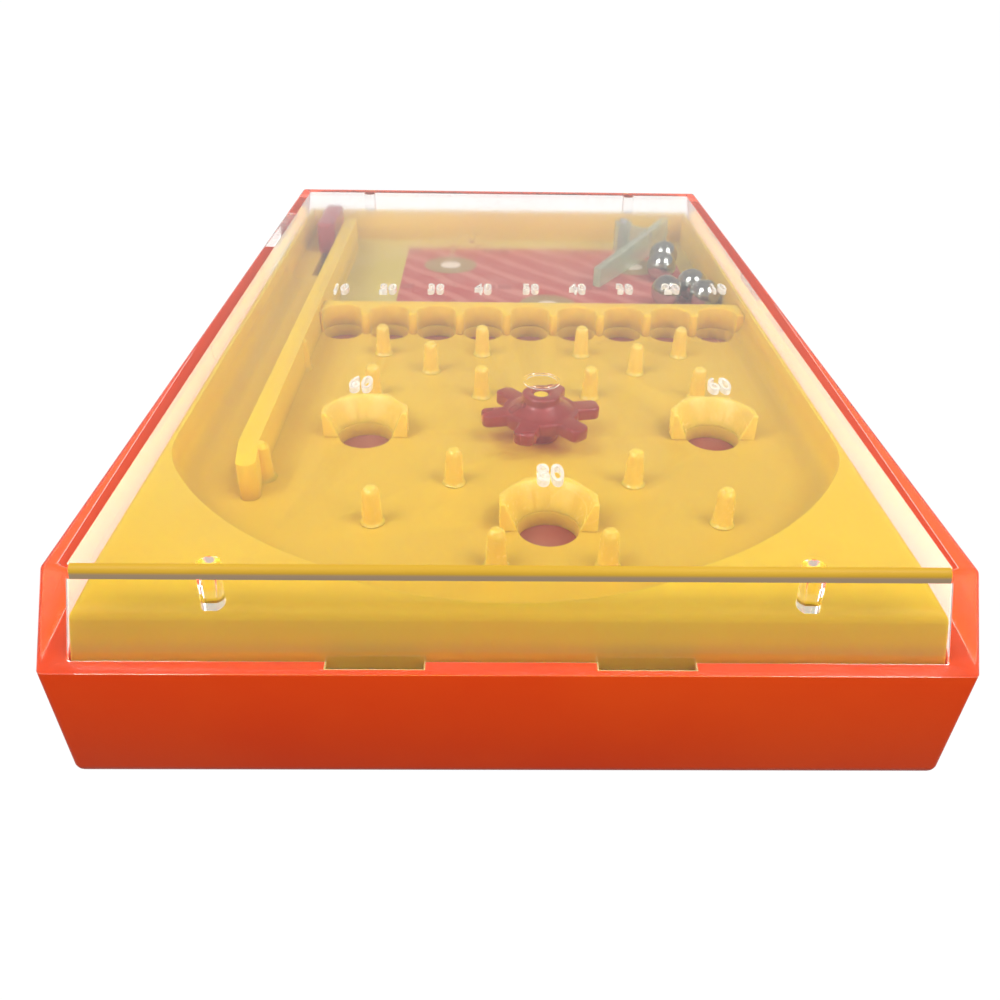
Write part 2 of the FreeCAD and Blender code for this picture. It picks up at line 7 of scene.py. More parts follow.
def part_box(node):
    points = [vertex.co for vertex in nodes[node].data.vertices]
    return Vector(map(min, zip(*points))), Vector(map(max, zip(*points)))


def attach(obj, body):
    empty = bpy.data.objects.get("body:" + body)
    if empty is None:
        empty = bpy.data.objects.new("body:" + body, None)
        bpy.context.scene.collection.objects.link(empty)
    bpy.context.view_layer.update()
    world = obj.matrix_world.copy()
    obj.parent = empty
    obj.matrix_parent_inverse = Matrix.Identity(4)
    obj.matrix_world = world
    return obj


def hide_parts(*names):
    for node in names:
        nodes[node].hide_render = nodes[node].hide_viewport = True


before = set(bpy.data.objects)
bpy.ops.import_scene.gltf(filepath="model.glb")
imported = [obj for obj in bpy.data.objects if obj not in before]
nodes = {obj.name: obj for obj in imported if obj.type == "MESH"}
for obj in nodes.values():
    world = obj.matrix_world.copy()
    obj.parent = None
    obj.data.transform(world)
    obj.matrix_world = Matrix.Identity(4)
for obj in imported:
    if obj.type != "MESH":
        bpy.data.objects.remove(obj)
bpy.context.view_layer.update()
scene = bpy.context.scene
millimetre = 0.001
print("frame loaded:", len(nodes), "nodes")

# Camera

cameraValues = {
    "place": (-2.164, -114.25, 62.35),  # millimetres
    "turn": 0.0187,                     # radians, to the right of +Y
    "dip": 0.5590,                      # below the horizon
    "roll": 0.0165,
    "focalPixels": 919.6,
    "picturePixels": 1000,              # width of the picture that the focal length is for
    "sensorWidth": 36.0,
    "nearest": 4.0,                     # millimetres from the camera to what it can first see
    "bounces": 64,                      # light runs a long way inside the clear plate before it leaves
}


def makeCamera(values):
    turn, dip, roll = values["turn"], values["dip"], values["roll"]
    forward = Vector((math.sin(turn) * math.cos(dip), math.cos(turn) * math.cos(dip), -math.sin(dip)))
    level = Vector((math.cos(turn), -math.sin(turn), 0.0))
    upright = level.cross(forward)
    right = level * math.cos(roll) + upright * math.sin(roll)
    up = upright * math.cos(roll) - level * math.sin(roll)
    data = bpy.data.cameras.new("camera")
    data.sensor_fit = "HORIZONTAL"
    data.sensor_width = values["sensorWidth"]
    data.lens = values["focalPixels"] / values["picturePixels"] * values["sensorWidth"]
    data.clip_start = values["nearest"] * millimetre
    camera = bpy.data.objects.new("camera", data)
    facing = Matrix((right, up, -forward)).transposed().to_4x4()
    camera.matrix_world = Matrix.Translation(Vector(values["place"]) * millimetre) @ facing
    scene.collection.objects.link(camera)
    scene.camera = camera
    scene.view_settings.view_transform = "Standard"
    scene.cycles.max_bounces = values["bounces"]
    scene.cycles.transmission_bounces = values["bounces"]
    scene.cycles.glossy_bounces = values["bounces"]


makeCamera(cameraValues)
print("camera placed")

# Small helpers for node trees


def feed(tree, socket, value):
    if isinstance(value, bpy.types.NodeSocket):
        tree.links.new(value, socket)
    elif value is not None:
        socket.default_value = value


def addNode(tree, kind, inputs=None, **settings):
    node = tree.nodes.new(kind)
    for key, value in settings.items():
        setattr(node, key, value)
    for key, value in (inputs or {}).items():
        feed(tree, node.inputs[key], value)
    return node


def calculate(tree, operation, first, second=None, third=None, clamp=False):
    node = addNode(tree, "ShaderNodeMath", {0: first}, operation=operation, use_clamp=clamp)
    feed(tree, node.inputs[1], second)
    feed(tree, node.inputs[2], third)
    return node.outputs[0]


def mapValue(tree, value, fromLow, fromHigh, toLow, toHigh, smooth=False):
    node = addNode(tree, "ShaderNodeMapRange", {
        "Value": value, "From Min": fromLow, "From Max": fromHigh, "To Min": toLow, "To Max": toHigh},
        clamp=True, interpolation_type="SMOOTHSTEP" if smooth else "LINEAR")
    return node.outputs["Result"]


def mixValue(tree, mask, under, over):
    node = addNode(tree, "ShaderNodeMix", data_type="FLOAT")
    feed(tree, node.inputs[0], mask)
    feed(tree, node.inputs[2], under)
    feed(tree, node.inputs[3], over)
    return node.outputs[0]


def mixColour(tree, mask, under, over):
    node = addNode(tree, "ShaderNodeMix", data_type="RGBA")
    feed(tree, node.inputs[0], mask)
    feed(tree, node.inputs[6], under)
    feed(tree, node.inputs[7], over)
    return node.outputs[2]


def colour(red, green, blue):
    # Display values from 0 to 255, turned to the linear values that shaders take
    def linear(channel):
        share = channel / 255
        return share / 12.92 if share <= 0.04045 else ((share + 0.055) / 1.055) ** 2.4
    return (linear(red), linear(green), linear(blue), 1.0)


def newGroup(name, inputs, outputs):
    group = bpy.data.node_groups.new(name, "ShaderNodeTree")
    for label, kind, value in inputs:
        socket = group.interface.new_socket(name=label, in_out="INPUT", socket_type=kind)
        if value is not None:
            socket.default_value = value
    for label, kind in outputs:
        group.interface.new_socket(name=label, in_out="OUTPUT", socket_type=kind)
    return group, group.nodes.new("NodeGroupInput"), group.nodes.new("NodeGroupOutput")


def useGroup(tree, group, inputs):
    node = tree.nodes.new("ShaderNodeGroup")
    node.node_tree = group
    for key, value in inputs.items():
        feed(tree, node.inputs[key], value)
    return node


def newMaterial(name, shown):
    material = bpy.data.materials.new(name)
    material.use_nodes = True
    material.diffuse_color = shown
    tree = material.node_tree
    tree.nodes.clear()
    output = tree.nodes.new("ShaderNodeOutputMaterial")
    shader = tree.nodes.new("ShaderNodeBsdfPrincipled")
    tree.links.new(shader.outputs[0], output.inputs["Surface"])
    place = tree.nodes.new("ShaderNodeTexCoord").outputs["Object"]
    return material, tree, shader, output, place


# Effects that several finishes share

effectValues = {
    "cloudRange": (0.32, 0.68),     # part of the noise that the pigment's clouding uses
    "lineTurn": 0.5,                # radians
    "lineStretch": (1.0, 0.22, 1.0),
    "patchScale": 70.0,
    "patchRange": (0.52, 0.62),
    "panelEdge": 0.1,               # millimetres over which a printed edge fades
    "discEdge": 0.2,
}


def makeGrainEffect():
    # Fine tooth of a moulded surface and the slow clouding of its pigment
    group, source, sink = newGroup("mouldedGrain", [
        ("Place", "NodeSocketVector", None),
        ("Fine Scale", "NodeSocketFloat", 2500.0),
        ("Cloud Scale", "NodeSocketFloat", 45.0),
    ], [("Height", "NodeSocketFloat"), ("Cloud", "NodeSocketFloat")])
    fine = addNode(group, "ShaderNodeTexNoise", {
        "Vector": source.outputs["Place"], "Scale": source.outputs["Fine Scale"],
        "Detail": 3.0, "Roughness": 0.6})
    slow = addNode(group, "ShaderNodeTexNoise", {
        "Vector": source.outputs["Place"], "Scale": source.outputs["Cloud Scale"],
        "Detail": 4.0, "Roughness": 0.55})
    group.links.new(fine.outputs[0], sink.inputs["Height"])
    low, high = effectValues["cloudRange"]
    feed(group, sink.inputs["Cloud"], mapValue(group, slow.outputs[0], low, high, 0.0, 1.0))
    return group


def makeHairlineEffect():
    # Thin wandering lines where a smooth face has been rubbed, kept to some patches
    group, source, sink = newGroup("hairlines", [
        ("Place", "NodeSocketVector", None),
        ("Scale", "NodeSocketFloat", 90.0),
        ("Width", "NodeSocketFloat", 0.006),
    ], [("Mask", "NodeSocketFloat")])
    stretched = addNode(group, "ShaderNodeMapping", {
        "Vector": source.outputs["Place"], "Rotation": (0.0, 0.0, effectValues["lineTurn"]),
        "Scale": effectValues["lineStretch"]})
    path = addNode(group, "ShaderNodeTexNoise", {
        "Vector": stretched.outputs[0], "Scale": source.outputs["Scale"], "Detail": 1.0, "Distortion": 1.4})
    patches = addNode(group, "ShaderNodeTexNoise", {
        "Vector": source.outputs["Place"], "Scale": effectValues["patchScale"], "Detail": 1.0})
    away = calculate(group, "ABSOLUTE", calculate(group, "SUBTRACT", path.outputs[0], 0.5))
    line = calculate(group, "SUBTRACT", 1.0, calculate(
        group, "DIVIDE", away, source.outputs["Width"]), clamp=True)
    low, high = effectValues["patchRange"]
    kept = mapValue(group, patches.outputs[0], low, high, 0.0, 1.0)
    feed(group, sink.inputs["Mask"], calculate(group, "MULTIPLY", line, kept))
    return group


def makeSpeckEffect():
    # Scattered dust specks
    group, source, sink = newGroup("dustSpecks", [
        ("Place", "NodeSocketVector", None),
        ("Scale", "NodeSocketFloat", 450.0),
        ("Size", "NodeSocketFloat", 0.12),
        ("Share", "NodeSocketFloat", 0.12),
    ], [("Mask", "NodeSocketFloat")])
    cells = addNode(group, "ShaderNodeTexVoronoi", {
        "Vector": source.outputs["Place"], "Scale": source.outputs["Scale"]})
    draw = addNode(group, "ShaderNodeSeparateColor", {0: cells.outputs["Color"]})
    close = calculate(group, "LESS_THAN", cells.outputs["Distance"], source.outputs["Size"])
    chosen = calculate(group, "LESS_THAN", draw.outputs[0], source.outputs["Share"])
    feed(group, sink.inputs["Mask"], calculate(group, "MULTIPLY", close, chosen))
    return group


def makePanelEffect():
    # Mask of 1 where the place lies inside a rectangle seen from above
    group, source, sink = newGroup("printedPanel", [
        ("Place", "NodeSocketVector", None),
        ("Centre", "NodeSocketVector", None),
        ("Half Size", "NodeSocketVector", None),
    ], [("Mask", "NodeSocketFloat")])
    away = addNode(group, "ShaderNodeVectorMath", {
        0: source.outputs["Place"], 1: source.outputs["Centre"]}, operation="SUBTRACT")
    size = addNode(group, "ShaderNodeVectorMath", {0: away.outputs[0]}, operation="ABSOLUTE")
    past = addNode(group, "ShaderNodeVectorMath", {
        0: size.outputs[0], 1: source.outputs["Half Size"]}, operation="SUBTRACT")
    parts = addNode(group, "ShaderNodeSeparateXYZ", {0: past.outputs[0]})
    worst = calculate(group, "MAXIMUM", parts.outputs[0], parts.outputs[1])
    edge = effectValues["panelEdge"] * millimetre
    feed(group, sink.inputs["Mask"], mapValue(group, worst, -edge, edge, 1.0, 0.0))
    return group


def makeDiscEffect():
    # Mask of 1 inside a printed disc, fading over a soft edge
    group, source, sink = newGroup("printedDisc", [
        ("Place", "NodeSocketVector", None),
        ("Centre", "NodeSocketVector", None),
        ("Radius", "NodeSocketFloat", 0.002),
    ], [("Mask", "NodeSocketFloat")])
    flat = addNode(group, "ShaderNodeVectorMath", {
        0: source.outputs["Place"], 1: (1.0, 1.0, 0.0)}, operation="MULTIPLY")
    gap = addNode(group, "ShaderNodeVectorMath", {
        0: flat.outputs[0], 1: source.outputs["Centre"]}, operation="DISTANCE")
    past = calculate(group, "SUBTRACT", gap.outputs["Value"], source.outputs["Radius"])
    edge = effectValues["discEdge"] * millimetre
    feed(group, sink.inputs["Mask"], mapValue(group, past, -edge, edge, 1.0, 0.0))
    return group


grainEffect = makeGrainEffect()
hairlineEffect = makeHairlineEffect()
speckEffect = makeSpeckEffect()
panelEffect = makePanelEffect()
discEffect = makeDiscEffect()
print("shared effects built")

# Finishes

mouldedValues = {
    "toothRange": (0.3, 0.7),       # part of the grain that the roughness follows
    "lineRoughness": 0.12,          # added where a hairline runs
    "bumpStrength": 0.6,
    "scatterDepth": 0.8,            # millimetres that light runs under the surface
    "scatterShares": (1.0, 0.8, 0.4),
    "ior": 1.5,
}

mouldedFinishes = {
    # Painted reflection: the near edge of the clear plate is painted with the field's yellow above and a painted
    # grey shade below
    "paintedEdgeReflection": {
        "dark": colour(228, 178, 52), "light": colour(236, 188, 64),
        "roughness": (0.30, 0.42), "grainDepth": 0.000004, "subsurface": 0.0, "gloss": 0.2,
        "paintedLowShade": colour(180, 154, 124), "paintedShadeHeights": (20.38, 20.68)},
    "orangePlastic": {
        "dark": colour(244, 68, 8), "light": colour(250, 80, 12),
        "roughness": (0.30, 0.42), "grainDepth": 0.000012, "subsurface": 0.1, "gloss": 0.2},
    "yellowPlastic": {
        "dark": colour(238, 192, 34), "light": colour(244, 202, 44),
        "roughness": (0.34, 0.48), "grainDepth": 0.000010, "subsurface": 0.7, "gloss": 0.1,
        # Painted shade: the field floor low down is darker than the open deck
        "paintedLowShade": colour(226, 184, 50), "paintedShadeHeights": (12.8, 14.2)},
    # A lit copy of the yellow plastic for pins and cups: its lighter yellow is painted light
    "yellowPlasticLit": {
        "dark": colour(240, 200, 62), "light": colour(248, 212, 76),
        "roughness": (0.18, 0.30), "grainDepth": 0.000008, "subsurface": 0.7, "gloss": 0.45},
    "redPlastic": {
        "dark": colour(160, 32, 40), "light": colour(176, 42, 50),
        "roughness": (0.26, 0.38), "grainDepth": 0.000008, "subsurface": 0.08, "gloss": 0.3},
}


def makeMouldedPlastic(name, values):
    material, tree, shader, output, place = newMaterial(name, values["light"])
    grain = useGroup(tree, grainEffect, {"Place": place})
    lines = useGroup(tree, hairlineEffect, {"Place": place})
    base = mixColour(tree, grain.outputs["Cloud"], values["dark"], values["light"])
    if "paintedLowShade" in values:
        # Painted shade low down: the field floor darker than the deck, and the grey foot of the painted edge
        # reflection
        height = addNode(tree, "ShaderNodeSeparateXYZ", {0: place}).outputs[2]
        low, high = (level * millimetre for level in values["paintedShadeHeights"])
        paintedShadeMask = mapValue(tree, height, low, high, 1.0, 0.0, smooth=True)
        base = mixColour(tree, paintedShadeMask, base, values["paintedLowShade"])
    rough = mapValue(
        tree, grain.outputs["Height"], *mouldedValues["toothRange"], *values["roughness"])
    rough = calculate(tree, "MULTIPLY_ADD", lines.outputs["Mask"], mouldedValues["lineRoughness"], rough)
    bump = addNode(tree, "ShaderNodeBump", {
        "Height": grain.outputs["Height"], "Distance": values["grainDepth"],
        "Strength": mouldedValues["bumpStrength"]})
    feed(tree, shader.inputs["Base Color"], base)
    feed(tree, shader.inputs["Roughness"], rough)
    feed(tree, shader.inputs["Normal"], bump.outputs[0])
    shader.inputs["Subsurface Weight"].default_value = values["subsurface"]
    shader.inputs["Subsurface Scale"].default_value = mouldedValues["scatterDepth"] * millimetre
    shader.inputs["Subsurface Radius"].default_value = mouldedValues["scatterShares"]
    shader.inputs["IOR"].default_value = mouldedValues["ior"]
    shader.inputs["Specular IOR Level"].default_value = values["gloss"]
    return material


clearValues = {
    "fineScale": 900.0,
    "cloudScale": 60.0,
    "lineScale": 120.0,
    "lineWidth": 0.004,
    "markRoughness": 0.12,          # added by hairlines and dust
}

clearFinishes = {
    "clearPlastic": {
        "tint": (0.995, 0.997, 0.99, 1.0), "roughness": (0.015, 0.05), "ior": 1.49, "transmission": 1.0,
        "gloss": 0.12, "shadow": (0.975, 0.975, 0.965, 1.0),
        "murk": (0.66, 0.47, 0.30, 1.0), "murkDensity": 7.0,
        # The side walls' outer faces are matt, and the plate is worn towards the ball store
        "mattSide": 0.22, "mattBetween": (35.6, 36.1), "worn": 0.05, "wornBetween": (5.0, 50.0)},
    "raisedFigure": {
        "tint": (0.98, 0.96, 0.93, 1.0), "roughness": (0.05, 0.14), "ior": 1.49, "transmission": 0.55,
        "gloss": 0.35, "shadow": (0.93, 0.93, 0.91, 1.0)},
    "redClearPlastic": {
        "tint": colour(162, 36, 28), "roughness": (0.22, 0.34), "ior": 1.49, "transmission": 0.35,
        "gloss": 0.3, "shadow": (0.55, 0.08, 0.10, 1.0)},
    "smokeClearPlastic": {
        "tint": colour(206, 212, 190), "roughness": (0.12, 0.22), "ior": 1.49, "transmission": 0.7,
        "gloss": 0.3, "shadow": (0.55, 0.60, 0.52, 1.0)},
}


def roughenCover(tree, place, rough, values):
    spot = addNode(tree, "ShaderNodeSeparateXYZ", {0: place}).outputs
    low, high = (reach * millimetre for reach in values["mattBetween"])
    outward = calculate(tree, "ABSOLUTE", spot[0])
    side = mapValue(tree, outward, low, high, 0.0, values["mattSide"], smooth=True)
    low, high = (reach * millimetre for reach in values["wornBetween"])
    worn = mapValue(tree, spot[1], low, high, 0.0, values["worn"], smooth=True)
    return calculate(tree, "ADD", rough, calculate(tree, "MAXIMUM", side, worn))


def makeClearPlastic(name, values):
    material, tree, shader, output, place = newMaterial(name, values["tint"])
    grain = useGroup(tree, grainEffect, {
        "Place": place, "Fine Scale": clearValues["fineScale"], "Cloud Scale": clearValues["cloudScale"]})
    lines = useGroup(tree, hairlineEffect, {
        "Place": place, "Scale": clearValues["lineScale"], "Width": clearValues["lineWidth"]})
    specks = useGroup(tree, speckEffect, {"Place": place})
    rough = mapValue(tree, grain.outputs["Cloud"], 0.0, 1.0, *values["roughness"])
    marks = calculate(tree, "MAXIMUM", lines.outputs["Mask"], specks.outputs["Mask"])
    rough = calculate(tree, "MULTIPLY_ADD", marks, clearValues["markRoughness"], rough)
    if "mattSide" in values:
        rough = roughenCover(tree, place, rough, values)
    feed(tree, shader.inputs["Roughness"], rough)
    shader.inputs["Base Color"].default_value = values["tint"]
    shader.inputs["IOR"].default_value = values["ior"]
    shader.inputs["Specular IOR Level"].default_value = values["gloss"]
    shader.inputs["Transmission Weight"].default_value = values["transmission"]
    if "murk" in values:
        # What is seen along the length of the plate comes out dim
        murk = addNode(tree, "ShaderNodeVolumeAbsorption", {
            "Color": values["murk"], "Density": values["murkDensity"]})
        tree.links.new(murk.outputs[0], output.inputs["Volume"])
    # Lamps shine through, as they do through thin clear plastic
    path = tree.nodes.new("ShaderNodeLightPath")
    through = addNode(tree, "ShaderNodeBsdfTransparent", {0: values["shadow"]})
    mixed = addNode(tree, "ShaderNodeMixShader", {
        0: path.outputs["Is Shadow Ray"], 1: shader.outputs[0], 2: through.outputs[0]})
    tree.links.new(mixed.outputs[0], output.inputs["Surface"])
    return material


metalValues = {
    "fineScale": 1800.0,
    "cloudScale": 300.0,
    "lineScale": 500.0,
    "lineWidth": 0.01,
    "lineRoughness": 0.2,
    "shade": 0.8,                   # the darker clouds of the metal, against its base
}

metalFinishes = {
    "ballSteel": {"base": (0.30, 0.31, 0.29, 1.0), "roughness": (0.07, 0.12)},
    "pinSteel": {"base": (0.30, 0.31, 0.33, 1.0), "roughness": (0.28, 0.42)},
    "springSteel": {"base": (0.45, 0.45, 0.47, 1.0), "roughness": (0.25, 0.38)},
}


def makeMetal(name, values):
    material, tree, shader, output, place = newMaterial(name, values["base"])
    grain = useGroup(tree, grainEffect, {
        "Place": place, "Fine Scale": metalValues["fineScale"], "Cloud Scale": metalValues["cloudScale"]})
    lines = useGroup(tree, hairlineEffect, {
        "Place": place, "Scale": metalValues["lineScale"], "Width": metalValues["lineWidth"]})
    rough = mapValue(tree, grain.outputs["Cloud"], 0.0, 1.0, *values["roughness"])
    feed(tree, shader.inputs["Roughness"], calculate(
        tree, "MULTIPLY_ADD", lines.outputs["Mask"], metalValues["lineRoughness"], rough))
    shade = tuple(channel * metalValues["shade"] for channel in values["base"][:3]) + (1.0,)
    feed(tree, shader.inputs["Base Color"], mixColour(
        tree, grain.outputs["Cloud"], values["base"], shade))
    shader.inputs["Metallic"].default_value = 1.0
    return material


cardValues = {
    "ground": colour(207, 184, 78),
    # Under the field: the floor's own orange darkened with painted shade, as seen in the holes
    "underFieldPaintedShade": colour(148, 50, 14),
    "red": colour(182, 46, 46),
    "darkRed": colour(168, 40, 48),
    "pink": colour(212, 126, 110),
    "olive": colour(160, 128, 74),
    "pale": colour(250, 232, 214),
    "pictureCentre": (7.3, 32.6),   # millimetres
    "pictureHalfSize": (23.6, 19.2),
    "panelCount": 3,
    "outerDisc": 4.5,
    "innerDisc": 1.7,
    "cornerMark": 1.1,
    "cornerShare": 0.42,            # how far out a corner mark lies in its panel
    "fieldEdge": 11.8,              # the card shows dark orange under the holes on the near side of this line: its own orange darkened with painted shade
    "bandRange": (0.55, 0.85),
    "bandStrength": 0.6,
    "fading": 0.14,
    "toothDepth": 0.008,
    "toothStrength": 0.4,
    "toothRange": (0.3, 0.7),
    "roughness": (0.5, 0.68),
    "gloss": 0.2,
}


def makePrintedCard(values):
    material, tree, shader, output, place = newMaterial("printedCard", values["ground"])
    grain = useGroup(tree, grainEffect, {"Place": place, "Fine Scale": 5200.0, "Cloud Scale": 110.0})
    centreX, centreY = (value * millimetre for value in values["pictureCentre"])
    halfX, halfY = (value * millimetre for value in values["pictureHalfSize"])

    def panel(x, y, wide, high):
        return useGroup(tree, panelEffect, {
            "Place": place, "Centre": (x, y, 0.0), "Half Size": (wide, high, 1.0)}).outputs["Mask"]

    def disc(x, y, radius):
        return useGroup(tree, discEffect, {
            "Place": place, "Centre": (x, y, 0.0), "Radius": radius}).outputs["Mask"]

    picture = panel(centreX, centreY, halfX, halfY)
    art = values["red"]
    # Slanting bands of paler ink
    bands = addNode(tree, "ShaderNodeTexWave", {
        "Vector": place, "Scale": 95.0, "Distortion": 2.4, "Detail": 1.0, "Detail Scale": 1.2},
        wave_type="BANDS", bands_direction="DIAGONAL")
    low, high = values["bandRange"]
    bandMask = mapValue(tree, bands.outputs["Fac"], low, high, 0.0, values["bandStrength"])
    art = mixColour(tree, bandMask, art, values["pink"])
    step = halfX * 2 / values["panelCount"]
    mark = values["cornerMark"] * millimetre
    for index in range(values["panelCount"]):
        x = centreX - halfX + step * (index + 0.5)
        for row, y in enumerate((centreY - halfY / 2, centreY + halfY / 2)):
            if (index + row) % 2:
                art = mixColour(tree, disc(x, y, values["outerDisc"] * millimetre), art, values["olive"])
                art = mixColour(tree, disc(x, y, values["innerDisc"] * millimetre), art, values["pale"])
            for side in (-1, 1):
                art = mixColour(tree, panel(
                    x + side * step * values["cornerShare"], y + halfY * values["cornerShare"],
                    mark, mark), art, values["darkRed"])
    spot = addNode(tree, "ShaderNodeSeparateXYZ", {0: place})
    farSide = calculate(tree, "GREATER_THAN", spot.outputs[1], values["fieldEdge"] * millimetre)
    ground = mixColour(tree, farSide, values["underFieldPaintedShade"], values["ground"])
    base = mixColour(tree, picture, ground, art)
    paler = calculate(tree, "MULTIPLY", grain.outputs["Cloud"], values["fading"])
    faded = mixColour(tree, paler, base, values["pale"])
    bump = addNode(tree, "ShaderNodeBump", {
        "Height": grain.outputs["Height"], "Distance": values["toothDepth"] * millimetre,
        "Strength": values["toothStrength"]})
    shader.inputs["Specular IOR Level"].default_value = values["gloss"]
    feed(tree, shader.inputs["Base Color"], faded)
    feed(tree, shader.inputs["Roughness"], mapValue(
        tree, grain.outputs["Height"], *values["toothRange"], *values["roughness"]))
    feed(tree, shader.inputs["Normal"], bump.outputs[0])
    return material


finishes = {name: makeMouldedPlastic(name, values) for name, values in mouldedFinishes.items()}
finishes.update({name: makeClearPlastic(name, values) for name, values in clearFinishes.items()})
finishes.update({name: makeMetal(name, values) for name, values in metalFinishes.items()})
finishes["printedCard"] = makePrintedCard(cardValues)
print("finishes built:", len(finishes))

# Rounded edges and finishes of the pieces that come from the frame

pieceFinish = {
    "base_tray": ("orangePlastic", 0.12),       # finish, edge round in millimetres
    "picture_card": ("printedCard", 0.0),
    "playfield": ("yellowPlastic", 0.16),
    "lane_wall": ("yellowPlastic", 0.25),
    "pocket_ridge": ("yellowPlastic", 0.2),
    "spinner": ("redClearPlastic", 0.2),
    "launcher": ("redPlastic", 0.15),
    "launcher_spring": ("springSteel", 0.0),
    "ball_gate": ("smokeClearPlastic", 0.12),
    "gate_pin": ("pinSteel", 0.1),
}
pieceFinish.update({"cup_" + side: ("yellowPlasticLit", 0.5) for side in ("left", "right", "near")})
pieceFinish.update({"pin_%d" % number: ("yellowPlasticLit", 0.4) for number in range(1, 17)})
pieceFinish.update({"ball_%d" % number: ("ballSteel", 0.0) for number in range(1, 6)})

roundValues = {
    "sharpestBend": math.radians(33),   # edges that bend more than this are edges of the form
    "flatWithin": math.radians(0.4),
    "segments": 2,
    "weldWithin": 0.001,                # millimetres
    "faceWeight": 100,
}


def finishPiece(node, finish, edgeRound, values):
    node.data.materials.clear()
    node.data.materials.append(finish)
    node.data.polygons.foreach_set("use_smooth", [True] * len(node.data.polygons))
    weld = node.modifiers.new("weld", "WELD")
    weld.merge_threshold = values["weldWithin"] * millimetre
    if edgeRound:
        flatten = node.modifiers.new("flatten", "DECIMATE")
        flatten.decimate_type = "DISSOLVE"
        flatten.angle_limit = values["flatWithin"]
        bevel = node.modifiers.new("edges", "BEVEL")
        bevel.width = edgeRound * millimetre
        bevel.segments = values["segments"]
        bevel.limit_method = "ANGLE"
        bevel.angle_limit = values["sharpestBend"]
        bevel.harden_normals = True
    else:
        split = node.modifiers.new("edges", "EDGE_SPLIT")
        split.split_angle = values["sharpestBend"]
        even = node.modifiers.new("normals", "WEIGHTED_NORMAL")
        even.mode = "FACE_AREA"
        even.weight = values["faceWeight"]
        even.keep_sharp = True


for name, (finish, edgeRound) in pieceFinish.items():
    finishPiece(nodes[name], finishes[finish], edgeRound, roundValues)
print("frame pieces finished:", len(pieceFinish))

# Clear cover, as the frame has it but with a shallower ring over the spinner and a near edge painted with a
# reflection of the field and a grey shade

coverValues = {
    "ringCentre": (3.85, -23.0),   # millimetres
    "ringReach": 2.3,
    "ringDepth": 0.15,
    "ringLeast": 0.1,              # what lies this far under the plate belongs to the ring
    "plate": 1.6,
    "press": 0.03,                 # the foot is pressed this far into the tray, so that no two faces share a plane
    "footWithin": 0.01,
    "lineAbove": 20.1,             # the plate's near edge, from this height up, has the finish with the painted reflection
    "lineOut": 57.2,               # it lies further out than this
    "lineReach": 33.5,             # and no further than this to either side
    "lineSlope": 0.05,             # its faces look towards the near side at least this much
}


def nearFaces(shape, values):
    return [face for face in shape.faces
            if face.calc_center_bounds().y < -values["lineOut"] * millimetre
            and face.normal.y < -values["lineSlope"]]


def cutNearFaces(shape, point, across, values):
    near = nearFaces(shape, values)
    pieces = set(near)
    for face in near:
        pieces.update(face.edges)
        pieces.update(face.verts)
    bmesh.ops.bisect_plane(
        shape, geom=list(pieces), plane_co=Vector(point) * millimetre, plane_no=across, dist=1e-7)


def markPaintedEdgeFaces(shape, values):
    # The near edge's faces get the second slot: the finish painted with the field's reflection and a grey shade
    reach = values["lineReach"]
    cutNearFaces(shape, (0.0, 0.0, values["lineAbove"]), (0.0, 0.0, 1.0), values)
    for side in (-reach, reach):
        cutNearFaces(shape, (side, 0.0, 0.0), (1.0, 0.0, 0.0), values)
    for face in nearFaces(shape, values):
        middle = face.calc_center_bounds() / millimetre
        if middle.z > values["lineAbove"] and abs(middle.x) < reach:
            face.material_index = 1


def makeCover(node, values):
    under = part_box("clear_cover")[1].z - values["plate"] * millimetre
    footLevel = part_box("base_tray")[1].z
    shape = bmesh.new()
    shape.from_mesh(node.data)
    bmesh.ops.remove_doubles(shape, verts=shape.verts, dist=roundValues["weldWithin"] * millimetre)
    centre = Vector(values["ringCentre"]) * millimetre
    rim = [v for v in shape.verts if (v.co.xy - centre).length < values["ringReach"] * millimetre
           and v.co.z < under - values["ringLeast"] * millimetre]
    lift = under - values["ringDepth"] * millimetre - min(v.co.z for v in rim)
    bmesh.ops.translate(shape, verts=rim, vec=(0.0, 0.0, lift))
    foot = [v for v in shape.verts if abs(v.co.z - footLevel) < values["footWithin"] * millimetre]
    bmesh.ops.translate(shape, verts=foot, vec=(0.0, 0.0, -values["press"] * millimetre))
    markPaintedEdgeFaces(shape, values)
    mesh = bpy.data.meshes.new("coverShell")
    shape.to_mesh(mesh)
    shape.free()
    cover = bpy.data.objects.new("coverShell", mesh)
    scene.collection.objects.link(cover)
    index = [polygon.material_index for polygon in mesh.polygons]
    finishPiece(cover, finishes["clearPlastic"], 0.0, roundValues)
    mesh.materials.append(finishes["paintedEdgeReflection"])
    mesh.polygons.foreach_set("material_index", index)
    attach(cover, "case")
    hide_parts("clear_cover")
    return under


plateUnder = makeCover(nodes["clear_cover"], coverValues)
print("clear cover made")

# Raised numbers on the underside of the clear plate

numberValues = {
    "pocketScores": ("10", "20", "30", "40", "50", "40", "30", "20", "10"),
    "pocketSize": 2.9,       # height of a figure in millimetres
    "pocketLine": 4.9,       # Y of the foot of the first number
    "pocketRise": 0.19,      # how much further on the next one stands
    "pocketFirst": -21.9,    # X of the middle of the first number
    "pocketPitch": 6.42,
    "cupScores": (("60", -15.6, -25.2), ("60", 23.0, -24.9), ("80", 3.68, -44.0)),
    "cupSize": 3.2,
    "narrow": 0.6,           # width of a figure against the font's own
    "depth": 0.6,
    "embed": 0.05,
    "fontShare": 1.35,       # the font's size against the height of its figures
    "edge": 0.06,
    "curveSteps": 4,
}


